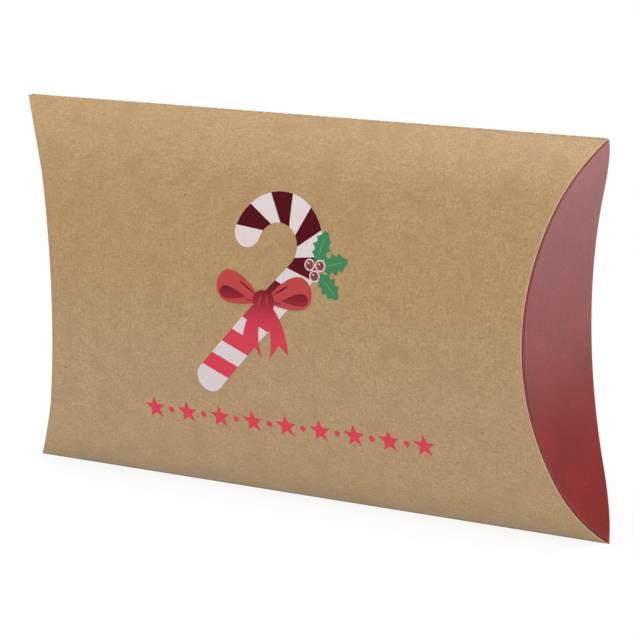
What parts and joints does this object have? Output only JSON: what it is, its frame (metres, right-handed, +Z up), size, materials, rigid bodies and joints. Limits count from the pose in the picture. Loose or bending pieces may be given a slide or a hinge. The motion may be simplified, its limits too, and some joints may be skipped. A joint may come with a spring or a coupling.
{
  "type": "pillow box",
  "caption": "Kraft card pillow box with bowed panels and curved red end flaps that lap and fold open, glued along one long edge.",
  "frame": {"origin": "middle of the bottom fold, on the surface that the box stands on", "axes": "+X along the box to its right end, +Y from the front panel to the back panel, +Z up"},
  "size_m": [0.267, 0.052, 0.15],
  "materials": {
    "kraft_card": "brown kraft card with a faint satin, mottled fibres and paler worn creases",
    "red_card": "kraft card printed solid red on its outer face, satin",
    "glue": "dried white packaging glue",
    "print_red_foil": "hot-stamped red foil",
    "print_white": "matt white ink",
    "print_red": "matt red ink",
    "print_green": "matt green ink"
  },
  "bodies": {
    "box": {"front_panel": "kraft_card", "back_panel": "kraft_card", "bottom_fold": "kraft_card", "top_fold": "kraft_card", "glue_flap": "kraft_card", "glue_line": "glue"},
    "right_outer": {"right_outer_flap": "red_card"},
    "right_inner": {"right_inner_flap": "red_card"},
    "left_outer": {"left_outer_flap": "red_card"},
    "left_inner": {"left_inner_flap": "red_card"}
  },
  "joints": [
    {"name": "right_outer_crease", "type": "hinge", "parent": "box", "child": "right_outer", "pos_m": [0.11186, 0.026, 0.075], "axis": [0, 0, 1], "range_deg": [0, 90]},
    {"name": "right_inner_crease", "type": "hinge", "parent": "box", "child": "right_inner", "pos_m": [0.11186, -0.026, 0.075], "axis": [0, 0, -1], "range_deg": [0, 63]},
    {"name": "left_outer_crease", "type": "hinge", "parent": "box", "child": "left_outer", "pos_m": [-0.10446, 0.026, 0.075], "axis": [0, 0, -1], "range_deg": [0, 90]},
    {"name": "left_inner_crease", "type": "hinge", "parent": "box", "child": "left_inner", "pos_m": [-0.10446, -0.026, 0.075], "axis": [0, 0, 1], "range_deg": [0, 63]}
  ],
  "couplings": [
    {"joint": "right_inner_crease", "follows": "right_outer_crease", "ratio": 0.7},
    {"joint": "left_inner_crease", "follows": "left_outer_crease", "ratio": 0.7}
  ]
}
